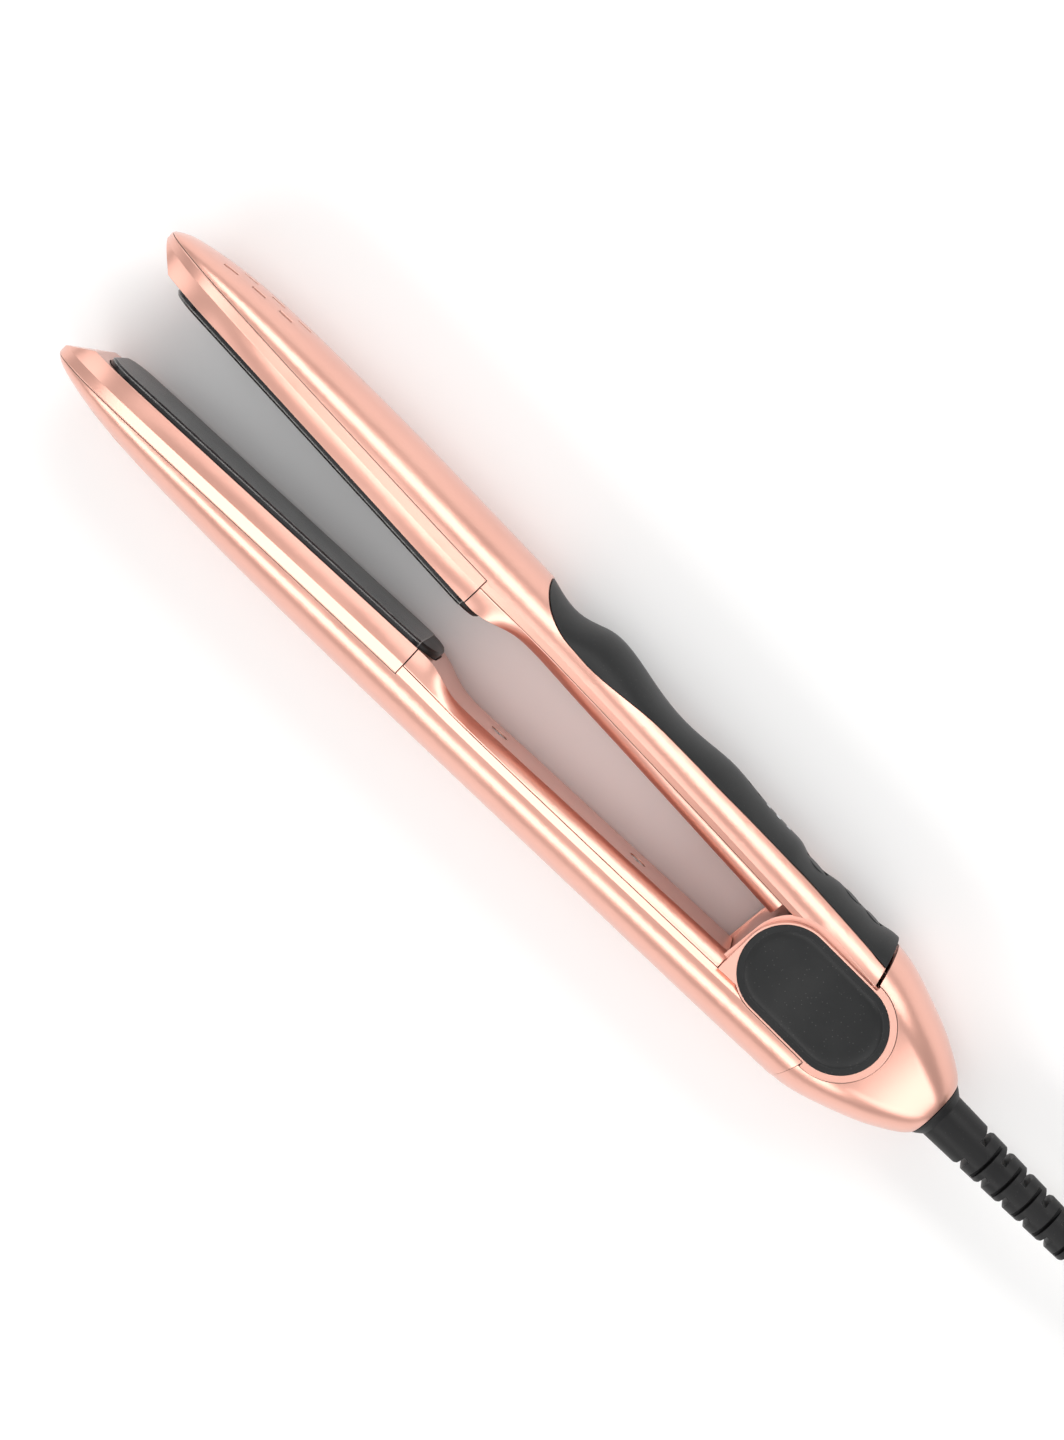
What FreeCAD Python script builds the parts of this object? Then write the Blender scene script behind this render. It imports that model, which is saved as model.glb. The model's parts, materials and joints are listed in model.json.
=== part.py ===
import FreeCAD
import Part

import math
import os

from FreeCAD import Vector

# Flat iron (hair straightener) with floating plates, a sprung hinge and a swivel cord, in millimetres.
#
# The iron lies on its side. X runs along the tail, from the tips (-X) to the cord (+X). Y is the way the
# upper arm opens. Z is up, along the hinge pin. The origin is on the surface, under the hinge pin.
# Both arms are modelled closed along X, and outwards along -Y, and are then mirrored and swung into place.
# "s" is the distance from the hinge pin towards the tips, and "n" the depth outwards from the closed
# plates.

os.makedirs("parts", exist_ok=True)

# ---- driving dimensions ----
MID_Z = 16.4            # height of the middle plane above the surface
LOWER_TILT = 2.3        # degrees from the tail's axis to the lower arm's plate
OPEN_ANGLE = 5.15       # degrees between the plates when the spring holds the iron open
CLOSED_GAP = 0.12       # depth of each plate's face below the plane in which the arms would meet

ARM_LENGTH = 250.4      # hinge pin to nose
ARM_REAR = -4.0
CROSS_SEAM = 136.0      # joint of the plate frame and the inner cover
WALL = 1.7
HAIRLINE = 0.16         # gap between two casing parts
SEAM_STEP = 0.4         # from an edge of the arm's outline to the joint beside it

PLATE_FRONT = 239.0
PLATE_REAR = 136.5
CAP_REAR = 131.6        # end of the cap that closes the plate
PLATE_HALF_WIDTH = 12.5
PLATE_CORNER = 8.0
PLATE_DEPTH = 4.2
PLATE_CLEARANCE = 0.35
SPRING_PLACES = (172, 206)
SCREW_PLACES = (62, 108)

PIN_RADIUS = 2.5
PIN_CLEARANCE = 0.05
PAD_RADIUS = 11.9
PAD_REACH = 18.1        # between the two end centres of the hinge pad
PAD_RIM_Z = 15.6        # half heights above the middle plane
PAD_TOP_Z = MID_Z
HUB_MARGIN = 0.5
HUB_DISC_RADIUS = 13.7
HUB_NOSE = 30.5
HUB_OUTER_Z = 15.2
HUB_INNER_Z = 11.9
HUB_FLANGE_Z = 11.0
HUB_CLEARANCE = 0.4

EAR_INNER_Z = 7.4
EAR_OUTER_Z = 10.6
EAR_RADIUS = 6.4

TAIL_LENGTH = 32.2
TAIL_WALL = 2.0
STOP_GAP = 1.0          # between the upper arm's rear end and the tail, when open
SWIVEL_RADIUS = 6.6
SWIVEL_CLEARANCE = 0.08
BOOT_COLLAR = 34.9
BOOT_END = 91.0
BOOT_END_RADIUS = 4.7
RIB_PITCH = 7.0
RIB_START = 45.4
RIB_COUNT = 6
NOTCH_WIDTH = 1.6
NOTCH_MOUTH = 0.7        # how far each side of a notch is cut back at its mouth
SIDE_SLOT_WIDTH = 1.0

GRIP_DEPTH = 0.8
GRIP_FRONT = 127.0
BOARD_N = 13.6
BOARD_THICKNESS = 1.4

CORD_RADIUS = 3.5
HANK_FRONT = 228.0      # where the hank's straight runs begin
HANK_STRAIGHT = 65.0
HANK_FOLD_RADIUS = 21.0  # of the innermost turn's middle
HANK_COLUMNS = 2
HANK_LAYERS = 4
TIE_X = 260.0

X, Y, Z = Vector(1, 0, 0), Vector(0, 1, 0), Vector(0, 0, 1)
ORIGIN = Vector(0, 0, 0)

# The cord's route above the surface: from the boot to the hank, and from the hank to the plug.
LEAD_ROUTE = [(91.05, 0, 16.4), (107, 0, 16.4), (124, -0.8, 12.2), (141, -3.0, 6.4), (158, -7.4, 3.5),
              (176, -14.2, 3.5), (194, -21.8, 3.5), (211, -26.9, 3.5), (228, -28, 3.5)]
END_ROUTE = [(228, 28, 24.5), (213, 27.9, 24.3), (200, 26.9, 21.6), (188, 25.0, 17.0), (177, 22.7, 12.4),
             (166, 20.4, 9.0), (155, 18.6, 8.0)]

# ---- how an arm's outline changes along its length: (s, value) ----
HALF_WIDTH = [(0, 15.5), (60, 15.2), (120, 15.4), (150, 15.9), (203, 15.9), (219, 15.5), (231, 14.7),
              (236, 13.9), (240, 12.7), (246, 9.7), (249, 6.7), (250.4, 3.4)]
OUTER = [(0, 22.4), (24, 22.2), (69, 21.5), (124, 20.6), (150, 20.0), (182, 19.0), (204, 17.8),
         (217, 16.9), (228, 15.7), (236, 14.3), (244, 12.4), (248, 11.0), (250.4, 9.4)]
CREASE = [(0, 11.5), (30, 11.3), (90, 10.7), (117, 10.2), (136, 9.4), (160, 9.1), (200, 8.8), (250.4, 8.7)]
SEAM = [(0, 9.5), (30, 9.3), (90, 8.5), (117, 7.9), (136, 6.9), (160, 6.6), (200, 6.4),
        (240, 6.3), (250.4, 6.6)]
INNER = [(0, 5.6), (117, 5.6), (123, 4.9), (127.5, 3.3), (131, 2.2), (135, 1.9), (250.4, 1.9)]
INNER_HALF_WIDTH = [(0, 10.4), (117, 10.4), (126, 12.0), (135, 13.5), (226, 13.5), (233, 13.1),
                    (240, 11.3), (246, 7.8),
                    (250.4, 2.4)]
FLANK_BULGE = [(0, 1.1), (117, 1.0), (135, -0.25), (250.4, -0.1)]
UPPER_ROOF = [(0, 3.6), (118, 3.0), (136, WALL)]
STATIONS = [ARM_REAR, 12, 30, 50, 70, 90, 105, 117, 123, 128, 132, 136, 145, 160, 180, 200, 213, 223,
            232, 239,
            244, 247.5, 249.4, 250.4]
CAVITY_FRONT = 236
LOFT_DEGREE = 4
BAND_INSET = 1.4

# Outline of the soft grip on the upper arm: how high it stands, and how far down the side it reaches.
GRIP_TOP = [(-4, 23.5), (3.6, 23.5), (5.5, 23.4), (11, 22.2), (17, 22.0), (24, 21.8), (28, 20.9),
            (31.2, 20.5),
            (34.5, 20.9), (38, 21.75), (69, 21.5), (110, 20.85), (127, 20.5)]
GRIP_EDGE = [(0, 17.6), (25, 17.9), (64, 17.0), (84, 16.2), (96, 14.6), (105, 13.7), (113, 13.9),
             (120, 15.8), (125, 19.2), (127, 22.0)]


def along(points, s):
    # Value at s of a smooth curve through the points, with no overshoot between them.
    if s <= points[0][0]:
        return points[0][1]
    if s >= points[-1][0]:
        return points[-1][1]
    gradient = [(b[1] - a[1]) / (b[0] - a[0]) for a, b in zip(points, points[1:])]
    slope = [gradient[0]]
    for before, after in zip(gradient, gradient[1:]):
        slope.append(0 if before * after <= 0 else 2 * before * after / (before + after))
    slope.append(gradient[-1])
    i = next(k for k in range(len(gradient)) if s <= points[k + 1][0])
    width = points[i + 1][0] - points[i][0]
    t = (s - points[i][0]) / width
    return (points[i][1] * (2 * t**3 - 3 * t**2 + 1) + points[i + 1][1] * (3 * t**2 - 2 * t**3)
            + width * slope[i] * (t**3 - 2 * t**2 + t) + width * slope[i + 1] * (t**3 - t**2))


# ---- general shapes ----
def line(a, b):
    return Part.LineSegment(a, b).toShape()


def box(x0, x1, y0, y1, z0, z1):
    return Part.makeBox(x1 - x0, y1 - y0, z1 - z0, Vector(x0, y0, z0))


def cylinder(radius, start, axis, length):
    return Part.makeCylinder(radius, length, start, axis)


def fused(shapes):
    return shapes[0].multiFuse(shapes[1:]).removeSplitter() if len(shapes) > 1 else shapes[0]


def prism(points, z0, z1):
    # A polygon in the XY plane, pulled up from z0 to z1.
    corners = [Vector(x, y, z0) for x, y in points]
    return Part.Face(Part.makePolygon(corners + corners[:1])).extrude(Z * (z1 - z0))


def side_prism(curve_points, closing_points, z_half):
    # A smooth curve in the XY plane, closed by straight lines and pulled through the iron's width.
    curve = Part.BSplineCurve()
    curve.interpolate([Vector(x, y, -z_half) for x, y in curve_points])
    corners = [curve_points[-1], *closing_points, curve_points[0]]
    lines = [line(Vector(*a, -z_half), Vector(*b, -z_half)) for a, b in zip(corners, corners[1:])]
    return Part.Face(Part.Wire([curve.toShape(), *lines])).extrude(Z * 2 * z_half)


def stadium(radius, z0, z1):
    # The hinge pad's slot shape, from the hinge pin towards the tips.
    far = -PAD_REACH
    top = line(Vector(0, radius, z0), Vector(far, radius, z0))
    left = Part.Arc(Vector(far, radius, z0), Vector(far - radius, 0, z0), Vector(far, -radius, z0))
    bottom = line(Vector(far, -radius, z0), Vector(0, -radius, z0))
    right = Part.Arc(Vector(0, -radius, z0), Vector(radius, 0, z0), Vector(0, radius, z0))
    return Part.Face(Part.Wire([top, left.toShape(), bottom, right.toShape()])).extrude(Z * (z1 - z0))


def turned(profile):
    # Solid of revolution about X from (x, radius) points.
    ring = [Vector(x, r, 0) for x, r in profile]
    ends = [Vector(profile[-1][0], 0, 0), Vector(profile[0][0], 0, 0)]
    return Part.Face(Part.makePolygon(ring + ends + ring[:1])).revolve(ORIGIN, X, 360)


def lofted(sections):
    return Part.makeLoft(sections, True, False, False, LOFT_DEGREE)


def both_sides(shape):
    return [shape, shape.mirror(ORIGIN, Z)]


def turned_about_pin(shape, degrees):
    shape = shape.copy()
    shape.rotate(ORIGIN, Z, degrees)
    return shape


def lower_place(shape):
    return turned_about_pin(shape, LOWER_TILT)


def upper_place(shape):
    return turned_about_pin(shape.mirror(ORIGIN, Y), LOWER_TILT - OPEN_ANGLE)


def coil_spring(radius, wire_radius, height, turns):
    # A coil along Z that starts at z = 0.
    helix = Part.makeHelix(height / turns, height, radius)
    ring = Part.Wire(Part.makeCircle(wire_radius, Vector(radius, 0, 0), Y))
    return Part.Wire(helix).makePipeShell([ring], True, True)


# ---- one closed arm, outwards along -Y, tips along -X ----
def arm_section(s, wall=0.0, roof=0.0, floor=None):
    # Cross-section of the arm at s, or of its cavity where a wall is given.
    width = max(along(HALF_WIDTH, s) - wall, 1.0)
    crease, seam = along(CREASE, s), along(SEAM, s)
    rise = max(along(OUTER, s) - roof - crease, 0.5)
    centre = Vector(-s, -crease, 0)
    ellipse = Part.Ellipse(centre + Z * width, centre - Y * min(rise, width - 0.01), centre)
    dome = Part.ArcOfEllipse(ellipse, 0, math.pi).toShape()
    inner = along(INNER, s) if floor is None else floor
    inner_width = max(along(INNER_HALF_WIDTH, s) - wall, 0.6)
    band_width = max(width - BAND_INSET, inner_width + 0.2)
    bulge = along(FLANK_BULGE, s)
    mid_width = (band_width + inner_width) / 2 + bulge
    mid_depth = (seam + inner) / 2 + bulge / 2
    corners = [Vector(-s, -crease, width), Vector(-s, -seam, band_width), Vector(-s, -inner, inner_width)]
    bend, far_bend = Vector(-s, -mid_depth, mid_width), Vector(-s, -mid_depth, -mid_width)
    far_corners = [Vector(p.x, p.y, -p.z) for p in reversed(corners)]
    near = [line(corners[0], corners[1]), Part.Arc(corners[1], bend, corners[2]).toShape()]
    far_flank = Part.Arc(far_corners[0], far_bend, far_corners[1]).toShape()
    far = [far_flank, line(far_corners[1], far_corners[2])]
    return Part.Wire([*near, line(corners[2], far_corners[0]), *far, dome])


def arm_envelope():
    solid = lofted([arm_section(s) for s in STATIONS])
    nose_cut = [(-2.2, -8.3), (11.6, 0.4), (11.6, 5), (-9, 5)]
    return solid.cut(prism([(-ARM_LENGTH + dx, y) for dx, y in nose_cut], -20, 20))


def cavity_floor(s):
    # Depth of the cavity's floor: above the inner cover in the handle, and behind the frame at the plate.
    handle, front = along(INNER, s) + WALL, along(SEAM, s) - 0.3
    return handle if s < 118 else max(handle, front)


def arm_cavity(roof):
    stations = [ARM_REAR - 1, *[s for s in STATIONS if 0 < s < CAVITY_FRONT], CAVITY_FRONT]
    sections = [arm_section(s, WALL, along(roof, s), cavity_floor(s)) for s in stations]
    return lofted(sections)


def parting(profile, s0, s1, gap):
    # Everything between the plates' plane and a joint that runs just outside one of the arm's edges.
    steps = 14
    stations = [s0 + (s1 - s0) * k / steps for k in range(steps + 1)]
    joint = [(-s, -along(profile, s) - SEAM_STEP + gap) for s in stations]
    return side_prism(joint, [(-s1, 9), (-s0, 9)], 20)


def plate_outline(grow, front, rear, n0, n1):
    # A rounded rectangle the width of the plate, grown by a clearance, between two depths.
    half = PLATE_HALF_WIDTH + grow
    block = box(-front - grow, -rear + grow, -n1, -n0, -half, half)
    upright = [e for e in block.Edges if e.Length < n1 - n0 + 0.01 and abs(e.tangentAt(0).y) > 0.99]
    return block.makeFillet(PLATE_CORNER + grow, upright)


def plate_pocket():
    return plate_outline(PLATE_CLEARANCE, PLATE_FRONT, CAP_REAR, -3, 9.5)


def arm_shell(envelope, cavity):
    front = parting(CREASE, CROSS_SEAM - HAIRLINE / 2, ARM_LENGTH + 3, 0)
    handle = parting(SEAM, ARM_REAR - 2, CROSS_SEAM, 0)
    posts = fused(screw_posts())
    return envelope.cut(front).cut(handle).cut(cavity).fuse(posts).cut(fused(vent_slots()))


def plate_frame(envelope, cavity):
    front = parting(CREASE, CROSS_SEAM + HAIRLINE, ARM_LENGTH + 2, HAIRLINE)
    return envelope.common(front).cut(cavity).cut(plate_pocket())


def inner_cover(envelope, cavity):
    handle = parting(SEAM, HUB_NOSE + 0.5, CROSS_SEAM - HAIRLINE, HAIRLINE)
    return envelope.common(handle).cut(cavity).cut(plate_pocket()).cut(fused(screw_holes()))


def vent_slots():
    # Short slots through the outer wall behind the nose, in four staggered rows.
    slots = []
    for row, z in enumerate((-7.6, -2.8, 2.8, 7.6)):
        shift = 4.3 if row in (1, 2) else 0.0
        for k in range(3):
            s = 235.4 - shift - 8.6 * k
            slots.append(box(-s, -s + 4.2, -21, -9.8, z - 0.6, z + 0.6))
    return slots


# ---- what is inside each arm's plate end ----
def face_edges(body, depth):
    # The edges of a plate's face, apart from the straight joint of the plate and its cap.
    on_face = [e for e in body.Edges if abs(e.CenterOfMass.y + depth) < 0.01]
    return [e for e in on_face if abs(e.CenterOfMass.x + PLATE_REAR) > 0.01]


def plate():
    body = plate_outline(0, PLATE_FRONT, CAP_REAR, CLOSED_GAP, PLATE_DEPTH)
    body = body.cut(box(-PLATE_REAR, 0, -20, 20, -20, 20))
    return body.makeChamfer(0.6, face_edges(body, CLOSED_GAP))


def plate_cap():
    # Heat-proof cap that closes the plate's rear end.
    body = plate_outline(0, PLATE_FRONT, CAP_REAR, CLOSED_GAP + 0.1, PLATE_DEPTH)
    body = body.cut(box(-ARM_LENGTH, -PLATE_REAR, -20, 20, -20, 20))
    return body.makeChamfer(0.6, face_edges(body, CLOSED_GAP + 0.1))


def heater():
    return box(-232, -146, -PLATE_DEPTH - 1.6, -PLATE_DEPTH, -7.5, 7.5)


def heater_clip():
    # Spring-steel channel that holds the heater against the plate.
    back = box(-226, -152, -PLATE_DEPTH - 2.2, -PLATE_DEPTH - 1.6, -8.6, 8.6)
    lips = [box(-226, -152, -PLATE_DEPTH - 2.2, -PLATE_DEPTH, z, z + 0.6) for z in (-8.6, 8.0)]
    return fused([back, *lips])


def spring_bar():
    # Cross bar that the plate's springs push against, with a foot at each end against the shell.
    s0, s1 = SPRING_PLACES[0] - 10, SPRING_PLACES[1] + 10
    bar = box(-s1, -s0, -13.4, -12.0, -6.0, 6.0)
    feet = []
    for s in (s0 + 3, s1 - 3):
        roof = along(OUTER, s + 2) - WALL - 0.4
        feet.append(box(-s - 2, -s + 2, -roof, -13.4, -2.5, 2.5))
    pegs = [cylinder(1.4, Vector(-s, -12.0, 0), Y, 2.2) for s in SPRING_PLACES]
    return fused([bar, *feet, *pegs])


def plate_springs():
    # From the clip's back to the spring bar.
    start = PLATE_DEPTH + 2.2 + 0.4
    springs = []
    for s in SPRING_PLACES:
        coil = coil_spring(2.4, 0.35, 12.0 - start - 0.4, 5)
        coil.rotate(ORIGIN, X, 90)
        coil.translate(Vector(-s, -start, 0))
        springs.append(coil)
    return Part.makeCompound(springs)


def thermistor():
    bead = Part.makeSphere(1.1, Vector(-141.5, -PLATE_DEPTH - 1.1, 0))
    return bead.fuse(cylinder(0.5, Vector(-141.5, -PLATE_DEPTH - 1.1, 0), X, 4.5))


def wire_run(points, radius):
    # A wire through the points, with a small ball at each corner.
    corners = [Vector(*p) for p in points]
    runs = [cylinder(radius, a, b - a, (b - a).Length) for a, b in zip(corners, corners[1:])]
    balls = [Part.makeSphere(radius, p) for p in corners[1:-1]]
    return fused([*runs, *balls])


def heater_leads(last):
    wires = []
    for z in (-4.2, 4.2):
        route = [(-144.9, -7.4, z), (-139, -9.2, z), (-124, -10.8, z), (-last, -10.8, z)]
        wires.append(wire_run(route, 0.6))
    return Part.makeCompound(wires)


def cover_screws():
    # Two screws through the inner cover, with their heads sunk in its face.
    screws = []
    for s in SCREW_PLACES:
        face = along(INNER, s)
        head = cylinder(2.4, Vector(-s, -face - 0.3, 0), -Y, 0.9)
        shank = cylinder(1.15, Vector(-s, -face - 1.2, 0), -Y, 7.0)
        slots = [box(-s - a, -s + a, -face - 0.8, 1, -b, b) for a, b in ((1.5, 0.3), (0.3, 1.5))]
        screws.append(head.fuse(shank).cut(fused(slots)))
    return Part.makeCompound(screws)


def screw_holes():
    holes = []
    for s in SCREW_PLACES:
        face = along(INNER, s)
        holes.append(cylinder(2.5, Vector(-s, 0, 0), -Y, face + 1.2))
        holes.append(cylinder(1.25, Vector(-s, 0, 0), -Y, face + 4))
    return holes


def screw_posts():
    # Posts in the shell that the cover's screws bite into.
    posts = []
    for s in SCREW_PLACES:
        face = along(INNER, s)
        start = face + WALL + 0.05
        post = cylinder(2.6, Vector(-s, -start, 0), -Y, along(OUTER, s) - 1.2 - start)
        posts.append(post.cut(cylinder(1.15, Vector(-s, 0, 0), -Y, face + 9)))
    return posts


# ---- hinge ----
def hub_profile(z0, z1, grow=0.0):
    # Side view of the hinge hub: the pad's slot shape, a disc round the pin and a square lower front.
    slot = stadium(PAD_RADIUS + HUB_MARGIN + grow, z0, z1)
    disc = cylinder(HUB_DISC_RADIUS + grow, Vector(0, 0, z0), Z, z1 - z0)
    disc = disc.common(box(0, 20, -20, 20, z0, z1))
    tip = -HUB_NOSE - grow
    front = prism([(-8, 0), (-8, -10.0 - grow), (tip, -10.75 - grow), (tip, 0)], z0, z1)
    ahead = box(-60, -HUB_NOSE - grow, -20, 20, z0 - 1, z1 + 1)
    return fused([slot, disc, front]).cut(ahead)


def hub_sweep(z0, z1, grow):
    # The hub's path in the upper arm, over the whole swing from open to closed.
    steps = 4
    swept = [turned_about_pin(hub_profile(z0, z1, grow), -OPEN_ANGLE * k / steps) for k in range(steps + 1)]
    return fused(swept)


def hinge_hub():
    cheek = hub_profile(HUB_INNER_Z, HUB_OUTER_Z)
    cheek = cheek.cut(stadium(PAD_RADIUS + 0.05, HUB_OUTER_Z - 1.0, HUB_OUTER_Z + 2))
    flange = hub_sweep(HUB_FLANGE_Z, HUB_INNER_Z, 0.3).cut(box(0.5, 60, -20, 20, 0, 20))
    flange = flange.cut(box(-60, -8, -20, -9.7, 0, 20))
    sides = both_sides(cheek.fuse(flange))
    nose = hub_profile(-HUB_FLANGE_Z, HUB_FLANGE_Z).cut(stadium(PAD_RADIUS - 2.0, -20, 20))
    nose = nose.cut(box(-PAD_REACH - 5, 30, -20, 20, -20, 20))
    web = box(-PAD_REACH - 8, 7.5, -9.4, -7.6, -HUB_FLANGE_Z, HUB_FLANGE_Z)
    bore = cylinder(PIN_RADIUS + PIN_CLEARANCE, Vector(0, 0, -20), Z, 40)
    return fused([*sides, nose, web]).cut(bore)


def hinge_pad():
    # Soft-touch cover on the hub's side: a flat rim with a raised pillow that the iron can lie on.
    base = stadium(PAD_RADIUS, HUB_OUTER_Z - 1.0, PAD_RIM_Z)
    pillow = stadium(PAD_RADIUS - 1.7, PAD_RIM_Z, PAD_TOP_Z)
    crown = [e for e in pillow.Edges if abs(e.CenterOfMass.z - PAD_TOP_Z) < 0.01]
    return base.fuse(pillow.makeFillet(0.7, crown)).removeSplitter()


def hinge_pin():
    pin = cylinder(PIN_RADIUS, Vector(0, 0, -14.0), Z, 28.0)
    ends = [e for e in pin.Edges if abs(abs(e.CenterOfMass.z) - 14.0) < 0.01]
    return pin.makeChamfer(0.4, ends)


def hinge_washers():
    thickness = HUB_FLANGE_Z - EAR_OUTER_Z - 0.1
    washer = cylinder(4.6, Vector(0, 0, EAR_OUTER_Z + 0.05), Z, thickness)
    washer = washer.cut(cylinder(PIN_RADIUS + PIN_CLEARANCE, ORIGIN, Z, 20))
    return Part.makeCompound(both_sides(washer))


def hinge_spring():
    # Torsion spring on the pin, with one leg in each arm.
    coil = coil_spring(4.4, 0.8, 9.6, 5.5)
    coil.rotate(ORIGIN, Z, -90)
    coil.translate(Z * -4.8)
    lower_leg = cylinder(0.8, Vector(0.3, -4.4, -4.8), -X - Y * 0.35, 7.6)
    upper_leg = cylinder(0.8, Vector(0.3, 4.4, 4.8), -X + Y * 0.25, 9.0)
    return fused([coil, lower_leg, upper_leg])


def hinge_bracket():
    # Two ears on the pin, joined by a web that screws to the upper shell. Outwards along -Y, like the arms.
    ear = cylinder(EAR_RADIUS, Vector(0, 0, EAR_INNER_Z), Z, EAR_OUTER_Z - EAR_INNER_Z)
    arm = prism([(-5.6, 2), (5.6, 2), (-2.0, -12.8), (-19.5, -12.8), (-19.5, -11.0), (-9, -9.8)],
                EAR_INNER_Z, EAR_OUTER_Z)
    ears = both_sides(ear.fuse(arm))
    web = box(-19.5, -9.8, -12.8, -11.2, -EAR_INNER_Z - 0.1, EAR_INNER_Z + 0.1)
    bore = cylinder(PIN_RADIUS + PIN_CLEARANCE, Vector(0, 0, -20), Z, 40)
    holes = [cylinder(1.0, Vector(-15.5, 0, z), -Y, 20) for z in (-9.0, 9.0)]
    return fused([*ears, web]).cut(bore).cut(fused(holes))


def bracket_posts():
    # Posts in the upper shell that the bracket's screws bite into.
    posts = []
    for z in (-9.0, 9.0):
        post = cylinder(1.7, Vector(-15.5, -12.85, z), -Y, 6.0)
        posts.append(post.cut(cylinder(0.95, Vector(-15.5, 0, z), -Y, 17.5)))
    return posts


def bracket_screws():
    screws = []
    for z in (-9.0, 9.0):
        head = cylinder(1.5, Vector(-15.5, -9.2, z), -Y, 1.0)
        screws.append(head.fuse(cylinder(0.95, Vector(-15.5, -9.8, z), -Y, 6.5)))
    return Part.makeCompound(screws)


# ---- tail and swivel ----
TAIL_HALF_HEIGHT = [(-3, 22.5), (0, 22.2), (6, 20.9), (12, 18.9), (21.5, 15.2), (27, 12.3),
                    (30.7, 9.9), (32.2, 8.4)]
TAIL_HALF_WIDTH = [(-3, 15.5), (6, 15.4), (12, 15.0), (21.5, 13.2), (27, 11.4), (30.7, 9.6), (32.2, 8.3)]
TAIL_FLAT = [(-3, 10.8), (12, 8.6), (21.5, 5.6), (27, 3.4), (32.2, 1.2)]
TAIL_STATIONS = [-3, 2, 7, 12, 17, 22, 26, 29, 31, 32.2]


def tail_section(x, offset=0.0):
    width = along(TAIL_HALF_WIDTH, x) - offset
    flat = along(TAIL_FLAT, x)
    rise = along(TAIL_HALF_HEIGHT, x) - offset - flat
    edges = []
    for way in (1, -1):
        centre = Vector(x, way * flat, 0)
        side, crown, far = centre + Z * width, centre + Y * way * rise, centre - Z * width
        ellipse = Part.Ellipse(side, crown, centre)
        edges.append(Part.ArcOfEllipse(ellipse, 0, math.pi).toShape())
        edges.append(line(Vector(x, -flat, way * width), Vector(x, flat, way * width)))
    return Part.Wire(Part.__sortEdges__(edges))


def tail_front(gap):
    # Everything ahead of the tail's slanted front edges, moved back by a gap.
    reach, rake = 40, 5.9
    far = ARM_LENGTH + 10
    points = [(0.3, -11), (-rake, -reach), (-far, -reach), (-far, reach), (-rake, reach), (0.3, 11)]
    return prism([(x - gap, y) for x, y in points], -20, 20)


def tail_cavity():
    stations = [TAIL_STATIONS[0] - 1] + [x for x in TAIL_STATIONS if 0 < x < 27]
    return lofted([tail_section(x, TAIL_WALL) for x in stations + [27.6]])


def tail_housing(cavity):
    outer = lofted([tail_section(x) for x in TAIL_STATIONS])
    seat = cylinder(HUB_DISC_RADIUS + HAIRLINE, Vector(0, 0, -20), Z, 40)
    bore = cylinder(SWIVEL_RADIUS + SWIVEL_CLEARANCE, Vector(20, 0, 0), X, 20)
    return outer.cut(cavity).cut(seat).cut(bore).cut(tail_front(0))


def swivel_contacts(cavity):
    # Bulkhead across the tail, with two spring fingers beside the swivel's hub.
    bulkhead = cavity.common(box(15, 17, -30, 30, -30, 30))
    fingers = [box(17, 21.5, way * 5 - 1, way * 5 + 1, -2, 2) for way in (1, -1)]
    return fused([bulkhead, *fingers])


def boot_radius(x):
    start = SWIVEL_RADIUS - 0.25
    return start - (x - BOOT_COLLAR) / (BOOT_END - BOOT_COLLAR) * (start - BOOT_END_RADIUS)


def cord_boot():
    # Rubber strain relief: a flared collar, a plain neck, and ribs cut alternately across Y and across Z.
    collar = TAIL_LENGTH + 0.3
    body = turned([(27.9, SWIVEL_RADIUS), (collar, SWIVEL_RADIUS), (collar, 8.1), (collar + 0.8, 7.6),
                   (BOOT_COLLAR, boot_radius(BOOT_COLLAR)), (BOOT_END, BOOT_END_RADIUS)])
    cuts = []
    for k in range(RIB_COUNT):
        notch = RIB_START + RIB_PITCH * k
        slot = notch + 0.62 * RIB_PITCH
        web = boot_radius(notch) * 0.45
        edge = boot_radius(notch)
        back = notch + NOTCH_WIDTH
        mouth = [(notch, web), (back, web), (back, edge - 1.0), (back + NOTCH_MOUTH, edge + 0.3),
                 (notch - NOTCH_MOUTH, edge + 0.3), (notch, edge - 1.0)]
        for way in (1, -1):
            low, high = sorted((way * web, way * 9))
            cuts.append(prism([(x, way * y) for x, y in mouth], -9, 9))
            cuts.append(box(slot, slot + SIDE_SLOT_WIDTH, -9, 9, low, high))
    return body.cut(Part.makeCompound(cuts))


def swivel_head():
    # Contact drum on the boot's inner end, which keeps it in the tail and lets it turn.
    drum = cylinder(8.2, Vector(24.0, 0, 0), X, 3.5)
    collar = cylinder(SWIVEL_RADIUS, Vector(27.5, 0, 0), X, 0.4)
    hub = cylinder(3.0, Vector(19.0, 0, 0), X, 5.0)
    groove = cylinder(9, Vector(25.4, 0, 0), X, 0.8).cut(cylinder(7.4, Vector(25.4, 0, 0), X, 0.8))
    return fused([drum, collar, hub]).cut(groove)


# ---- electronics and controls of the upper arm, outwards along -Y like the arms ----
BUTTONS = {"power_button": (31.2, 3.6), "temp_up_button": (19.6, 2.7), "temp_down_button": (12.4, 2.7)}
BUTTON_GAP = 0.25
BUTTON_FOOT = 17.3
WINDOW_PLACES = [42.5 + 3.6 * k for k in range(5)]


def control_board():
    outer = BOARD_N + BOARD_THICKNESS
    board = fused([box(-112, -24, -outer, -BOARD_N, -9.0, 9.0), box(-24, -9, -outer, -BOARD_N, -6.8, 6.8)])
    return board.cut(fused([cylinder(3.2, Vector(-s, 0, 0), -Y, 30) for s in SCREW_PLACES]))


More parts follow.
